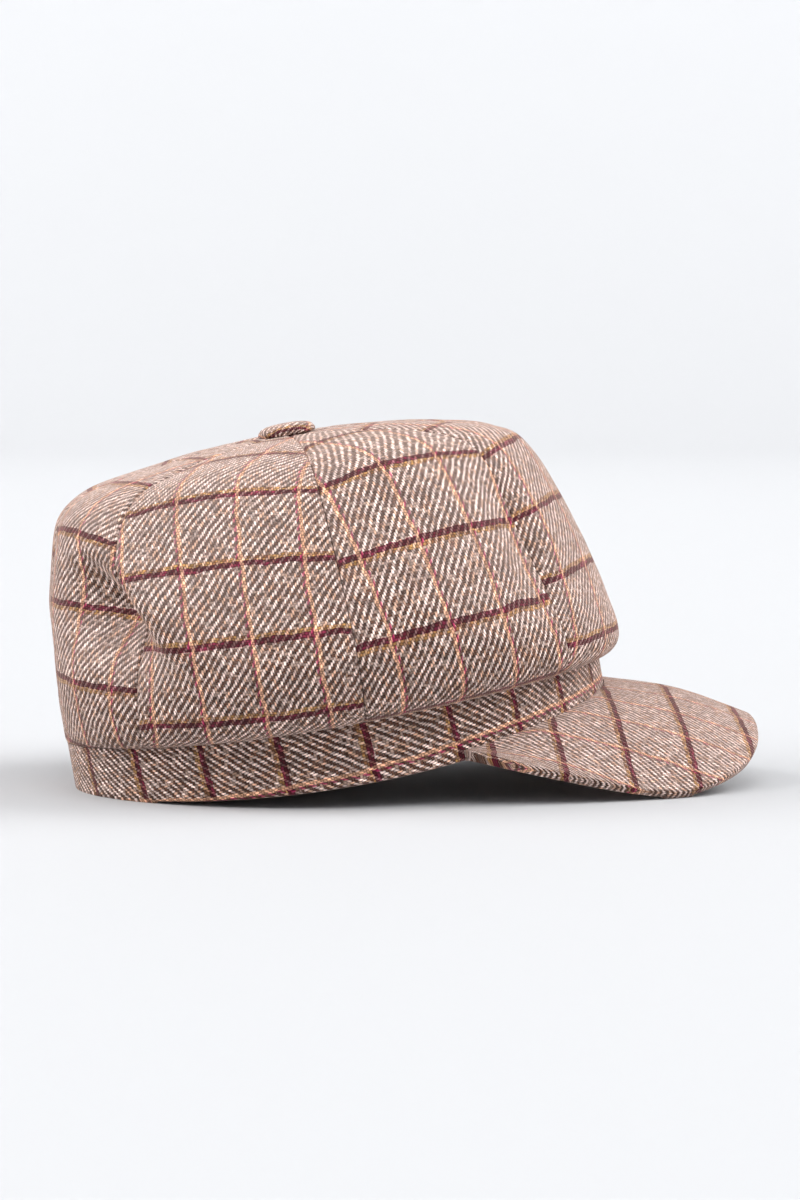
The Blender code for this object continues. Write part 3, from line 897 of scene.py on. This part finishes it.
# 2/2 twill with a windowpane of burgundy, olive and peach yarns, all from the cloth's own map
def wovenCloth(part, seed):
    material = bpy.data.materials.new(part + "Cloth")
    material.use_nodes = True
    tree = material.node_tree
    nodes, links = tree.nodes, tree.links
    shader = nodes["Principled BSDF"]
    m, mix, vector, noiseAt, cellNoise = nodeMaker(tree)

    cloth = nodes.new("ShaderNodeUVMap")
    cloth.uv_map = "cloth"
    split = nodes.new("ShaderNodeSeparateXYZ")
    links.new(cloth.outputs[0], split.inputs[0])
    u = m("MULTIPLY", split.outputs[0], 1000.0)
    v = m("MULTIPLY", split.outputs[1], 1000.0)

    # yarns wander a little
    slow, quick = weave["wander"]
    slowScale, quickScale = weave["wanderScales"]
    drift = []
    for turn in (0, 1):
        far = noiseAt(vector(u, v, seed + 11 * turn), slowScale, 1.0)
        near = noiseAt(vector(u, v, seed + 11 * turn + 4), quickScale, 2.0)
        far = m("MULTIPLY", m("SUBTRACT", far, 0.5), slow)
        drift.append(m("ADD", far, m("MULTIPLY", m("SUBTRACT", near, 0.5), quick)))
    ends = m("DIVIDE", m("ADD", u, drift[0]), weave["endPitch"])
    picks = m("DIVIDE", m("ADD", v, drift[1]), weave["pickPitch"])
    end = m("FLOOR", ends)
    pick = m("FLOOR", picks)
    acrossEnd = m("SUBTRACT", m("SUBTRACT", ends, end), 0.5)
    acrossPick = m("SUBTRACT", m("SUBTRACT", picks, pick), 0.5)
    phase = m("FLOORED_MODULO", m("SUBTRACT", end, pick), 4.0)
    wale = m("FLOOR", m("DIVIDE", m("ADD", m("SUBTRACT", end, pick), 0.25), 4.0))
    warpUp = m("LESS_THAN", phase, 1.5)

    # how far along its float a spot lies, 0 to 1, and how high the yarn stands there
    warpRun = m("MULTIPLY", m("ADD", m("SUBTRACT", 1.0, phase), m("ADD", acrossPick, 0.5)), 0.5)
    weftRun = m("MULTIPLY", m("ADD", m("SUBTRACT", phase, 2.0), m("ADD", acrossEnd, 0.5)), 0.5)

    def rounded(across):
        square = m("MULTIPLY", across, across)
        return m("SQRT", m("SUBTRACT", 1.0, m("MULTIPLY", square, weave["yarnRound"]), clamp=True))

    def arched(run, arch):
        least, more = weave[arch]
        return m("ADD", least, m("MULTIPLY", m("SINE", m("MULTIPLY", run, pi)), more))

    warpRound = rounded(acrossEnd)
    weftRound = rounded(acrossPick)
    warpArch = arched(warpRun, "warpArch")
    weftArch = arched(weftRun, "weftArch")
    warpRise = m("MULTIPLY", m("MULTIPLY", warpRound, warpArch), warpUp)
    weftRise = m("MULTIPLY", m("MULTIPLY", weftRound, weftArch), m("SUBTRACT", 1.0, warpUp))
    rise = m("ADD", warpRise, weftRise)

    # fibres, uneven yarns and flecks
    def drawnOut(scales, own, roughness):
        spot = vector(m("MULTIPLY", u, scales[0]), m("MULTIPLY", v, scales[1]), own)
        return noiseAt(spot, 1.0, 3.0, roughness)

    fibreWarp = drawnOut(weave["fibreScales"], seed, 0.65)
    fibreWeft = drawnOut(weave["fibreScales"][::-1], seed + 3, 0.65)
    warpTone = cellNoise(vector(end, wale, seed))
    weftTone = cellNoise(vector(wale, pick, seed + 2))
    warpShade = m("MULTIPLY", cellNoise(vector(end, wale, seed + 30)), warpUp)
    weftShade = m("MULTIPLY", cellNoise(vector(wale, pick, seed + 31)), m("SUBTRACT", 1.0, warpUp))
    floatTone = m("ADD", warpShade, weftShade)
    patchTone = drawnOut(weave["patchScales"], seed + 5, 0.6)
    grain = noiseAt(vector(u, v, seed + 9), weave["grainScale"], 3.0, 0.75)

    # yarns whose random number is past a limit, and how far they differ
    def someYarns(tone, side, key):
        limit, share = weave[key]
        return m("MULTIPLY", m(side, tone, limit), share)

    warmest = someYarns(warpTone, "GREATER_THAN", "warmYarns")
    warmth = m("ADD", m("MULTIPLY", warpTone, weave["warmthOfAll"]), warmest, clamp=True)
    lightYarn = mix(warmth, weave["light"], weave["lightWarm"])
    dimFrom, dimSlope = weave["dimFibres"]
    dim = m("MULTIPLY", m("SUBTRACT", dimFrom, fibreWarp), dimSlope, clamp=True)
    lightYarn = mix(m("MULTIPLY", dim, weave["dimShare"]), lightYarn, weave["lightDim"])
    brown = someYarns(warpTone, "LESS_THAN", "brownYarns")
    lightYarn = mix(brown, lightYarn, weave["lightBrown"])
    darkYarn = mix(weftTone, weave["dark"], weave["darkDeep"])
    fleck = someYarns(fibreWeft, "GREATER_THAN", "darkFlecks")
    darkYarn = mix(fleck, darkYarn, weave["darkFleck"])
    pale = someYarns(weftTone, "GREATER_THAN", "paleYarns")
    darkYarn = mix(pale, darkYarn, weave["darkPale"])

    # 1 on a coloured line of the windowpane and 0 beside it
    def onLine(yarns, line, repeat, wander=None):
        middle, halfWidth = weave[line]
        every = weave[repeat]
        along = m("FLOORED_MODULO", m("ADD", yarns, every / 2 - middle), float(every))
        away = m("ABSOLUTE", m("SUBTRACT", along, every / 2))
        if wander is not None:
            away = m("ADD", away, wander)
        return m("LESS_THAN", away, halfWidth)

    ragged = m("MULTIPLY", m("SUBTRACT", grain, 0.5), weave["ragged"])
    isPeach = onLine(ends, "peachLine", "endRepeat", m("MULTIPLY", ragged, 0.5))
    isDash = m("MULTIPLY", onLine(ends, "dashLine", "endRepeat"), warpUp)
    isBurgundy = onLine(picks, "burgundyStripe", "pickRepeat", ragged)
    isOlive = onLine(picks, "oliveEdge", "pickRepeat", ragged)
    isOlive = m("MULTIPLY", isOlive, m("SUBTRACT", 1.0, isBurgundy))

    burgundy = mix(m("MULTIPLY", fibreWeft, 0.7), weave["burgundy"], weave["burgundyDeep"])
    burgundy = mix(someYarns(weftTone, "GREATER_THAN", "dashYarns"), burgundy, weave["dash"])
    oliveTone = m("ADD", m("MULTIPLY", warpTone, 0.6), m("MULTIPLY", fibreWeft, 0.5), clamp=True)
    olive = mix(oliveTone, weave["olive"], weave["oliveBrown"])
    olive = mix(someYarns(weftTone, "LESS_THAN", "oliveYarns"), olive, weave["oliveDeep"])
    colour = mix(warpUp, darkYarn, lightYarn)
    most, less = weave["oliveCover"]
    oliveCover = m("SUBTRACT", most, m("MULTIPLY", warpUp, less))
    colour = mix(m("MULTIPLY", isOlive, oliveCover), colour, olive)
    most, less = weave["burgundyCover"]
    burgundyCover = m("SUBTRACT", most, m("MULTIPLY", warpRise, less))
    colour = mix(m("MULTIPLY", isBurgundy, burgundyCover), colour, burgundy)
    colour = mix(m("MULTIPLY", isDash, weave["dashCover"]), colour, weave["dash"])
    least, more = weave["peachCover"]
    peachCover = m("ADD", least, m("MULTIPLY", warpUp, more))
    peachCover = m("SUBTRACT", peachCover, m("MULTIPLY", isBurgundy, weave["peachUnder"]))
    peach = mix(m("MULTIPLY", dim, 0.45), weave["peach"], weave["peachDim"])
    colour = mix(m("MULTIPLY", isPeach, peachCover), colour, peach)

    # painted shade between the yarns where they sink, then loose fuzz and a slow change of tone over all
    # of it
    least, more = weave["paintedGapShade"]
    # painted shade: spots low between the yarns are darkened as if in their shadow; grain, patch and float
    # below are random tone
    gapShadeAndTone = m("ADD", least, m("MULTIPLY", rise, more))
    for key, tone in (("grainTone", grain), ("patchTone", patchTone), ("floatTone", floatTone)):
        least, more = weave[key]
        gapShadeAndTone = m("MULTIPLY", gapShadeAndTone, m("ADD", least, m("MULTIPLY", tone, more)))
    shaded = nodes.new("ShaderNodeVectorMath")
    shaded.operation = "SCALE"
    links.new(colour, shaded.inputs[0])
    links.new(gapShadeAndTone, shaded.inputs["Scale"])
    loose = noiseAt(vector(u, v, seed + 20), weave["wispScale"], 4.0, 0.7)
    wispsFrom, wispSlope = weave["wisps"]
    wisps = m("MULTIPLY", m("SUBTRACT", loose, wispsFrom), wispSlope, clamp=True)
    # painted highlight: the fuzz colour is laid on faces that look up, forward or back, where the lamps
    # fall most
    highlightNormal = nodes.new("ShaderNodeNewGeometry")
    facing = nodes.new("ShaderNodeSeparateXYZ")
    links.new(highlightNormal.outputs["Normal"], facing.inputs[0])
    foreAft = m("MULTIPLY", m("ABSOLUTE", facing.outputs[0]), weave["paintedHighlightEnds"])
    paintedHighlight = m("SUBTRACT", m("ADD", facing.outputs[2], foreAft), weave["paintedHighlightLeast"], clamp=True)
    paintedHighlight = m("MULTIPLY", paintedHighlight, weave["paintedHighlight"], clamp=True)
    paintedHighlight = m("MULTIPLY", paintedHighlight, m("ADD", 0.55, m("MULTIPLY", wisps, 0.6)))
    cover = m("ADD", m("MULTIPLY", wisps, weave["fuzz"][part]), paintedHighlight, clamp=True)
    striped = m("MAXIMUM", m("MAXIMUM", isBurgundy, isPeach), isOlive)
    bare = m("SUBTRACT", 1.0, m("MULTIPLY", striped, weave["bareStripes"]))
    # the fuzz colour carries both the loose fuzz and the painted highlight
    colour = mix(m("MULTIPLY", cover, bare), shaded.outputs[0], weave["fuzzAndPaintedHighlightColour"])
    links.new(colour, shader.inputs["Base Color"])

    height = m("ADD", rise, m("MULTIPLY", m("ADD", fibreWarp, fibreWeft), 0.30))
    bump = nodes.new("ShaderNodeBump")
    strength, deep = weave["bump"]
    bump.inputs["Strength"].default_value = strength
    bump.inputs["Distance"].default_value = deep
    links.new(height, bump.inputs["Height"])
    links.new(bump.outputs[0], shader.inputs["Normal"])

    shader.inputs["Roughness"].default_value = weave["roughness"]
    shader.inputs["Specular IOR Level"].default_value = weave["gloss"]
    shader.inputs["Sheen Weight"].default_value = weave["sheen"]
    shader.inputs["Sheen Roughness"].default_value = weave["sheenRoughness"]
    shader.inputs["Sheen Tint"].default_value = (*weave["sheenTint"], 1.0)
    return material


crownCloth = wovenCloth("crown", 1.0)
bandCloth = wovenCloth("band", 2.0)
peakTwill = wovenCloth("peak", 3.0)
buttonCloth = wovenCloth("button", 4.0)
print("cloth woven")

for name, node, first, last, *lay in panels:
    addPanel(name, node, first, last, lay, crownCloth)
print("crown sewn,", len(panels), "panels")
addBand(bandCloth)
addPeak(peakTwill)
addButton(buttonCloth)
print("band, peak and button added")

# table, light and camera
studio = {
    "tableDrop": 0.0001,       # keeps the table's face apart from the cloth that rests on it
    "tableReach": 4.0,
    "bendRadius": 1.2,
    "wallHeight": 2.6,
    "bendSteps": 13,
    "sides": 96,
    "tableColour": (0.535, 0.540, 0.553),
    "tableRoughness": 0.7,
    "tableGloss": 0.1,
    "glowColour": (0.97, 0.985, 1.0),
    "wallGlow": 0.26,          # painted glow: the sweep gives off light of its own all round, more up its wall
    "glowHeight": 0.9,         # full from this height up
    "skyColour": (0.96, 0.98, 1.0),
    "skyStrength": 0.30,
    # lamps: compass direction they come from, height and spread in degrees, strength
    "lamps": [
        ("topLight", 268.0, 61.0, 50.0, 1.56),
        ("leftLight", 180.0, 28.0, 58.0, 3.86),
        ("rightLight", 351.0, 29.0, 58.0, 4.42),
    ],
}
view = {
    "place": (-0.2105, -1.485, 0.1754),
    "target": (-0.0022, -0.0032, 0.0708),
    "lens": 117.0,
    "clip": (0.05, 30.0),
}


def paintTable(paint):
    paint.use_nodes = True
    tree = paint.node_tree
    m = nodeMaker(tree)[0]
    skin = tree.nodes["Principled BSDF"]
    skin.inputs["Base Color"].default_value = (*studio["tableColour"], 1.0)
    skin.inputs["Roughness"].default_value = studio["tableRoughness"]
    skin.inputs["Specular IOR Level"].default_value = studio["tableGloss"]
    skin.inputs["Emission Color"].default_value = (*studio["glowColour"], 1.0)
    spot = tree.nodes.new("ShaderNodeTexCoord")
    split = tree.nodes.new("ShaderNodeSeparateXYZ")
    tree.links.new(spot.outputs["Object"], split.inputs[0])
    # painted glow: the sweep's emission rises with height and lights the cap like a lamp
    up = m("DIVIDE", split.outputs[2], studio["glowHeight"], clamp=True)
    glow = m("MULTIPLY", up, studio["wallGlow"])
    tree.links.new(glow, skin.inputs["Emission Strength"])


# a round table whose edge sweeps up into a wall on all sides
def addTable():
    shape = bmesh.new()
    reach = studio["tableReach"]
    bend = studio["bendRadius"]
    steps = [(0.0, 0.0), (reach, 0.0)]
    for turn in np.linspace(0.0, pi / 2, studio["bendSteps"])[1:]:
        steps.append((reach + bend * sin(turn), bend * (1 - cos(turn))))
    steps.append((reach + bend, studio["wallHeight"]))
    chain = [shape.verts.new((out, 0.0, height)) for out, height in steps]
    for start, end in zip(chain, chain[1:]):
        shape.edges.new((start, end))
    around = shape.verts[:] + shape.edges[:]
    fullTurn = {"angle": 2 * pi, "steps": studio["sides"], "use_merge": True}
    bmesh.ops.spin(shape, geom=around, cent=(0, 0, 0), axis=(0, 0, 1), **fullTurn)
    bmesh.ops.remove_doubles(shape, verts=shape.verts[:], dist=1e-6)
    bmesh.ops.recalc_face_normals(shape, faces=shape.faces)
    mesh = bpy.data.meshes.new("studioTable")
    shape.to_mesh(mesh)
    shape.free()
    mesh.shade_smooth()
    table = bpy.data.objects.new("studioTable", mesh)
    table.location.z = -studio["tableDrop"]
    addObject(table)
    paint = bpy.data.materials.new("paleTable")
    paintTable(paint)
    mesh.materials.append(paint)


def addLights():
    world = bpy.data.worlds.new("studioSky")
    bpy.context.scene.world = world
    world.use_nodes = True
    sky = world.node_tree.nodes["Background"]
    sky.inputs["Color"].default_value = (*studio["skyColour"], 1.0)
    sky.inputs["Strength"].default_value = studio["skyStrength"]

    for name, compass, height, spread, strength in studio["lamps"]:
        lamp = bpy.data.lights.new(name, "SUN")
        lamp.energy = strength
        lamp.angle = radians(spread)
        holder = bpy.data.objects.new(name, lamp)
        turned = radians(compass)
        raised = radians(height)
        level = cos(raised)
        away = Vector((cos(turned) * level, sin(turned) * level, sin(raised)))
        holder.rotation_mode = "QUATERNION"
        holder.rotation_quaternion = away.to_track_quat("Z", "Y")
        holder.location = away * 2.0
        addObject(holder)


def addCamera():
    camera = bpy.data.objects.new("camera", bpy.data.cameras.new("camera"))
    camera.data.lens = view["lens"]
    camera.data.sensor_width = 36.0
    camera.data.clip_start, camera.data.clip_end = view["clip"]
    camera.location = view["place"]
    camera.rotation_mode = "QUATERNION"
    backward = Vector(view["place"]) - Vector(view["target"])
    camera.rotation_quaternion = backward.to_track_quat("Z", "Y")
    addObject(camera)
    bpy.context.scene.camera = camera
    bpy.context.scene.view_settings.view_transform = "Standard"


addTable()
addLights()
addCamera()
print("studio set")
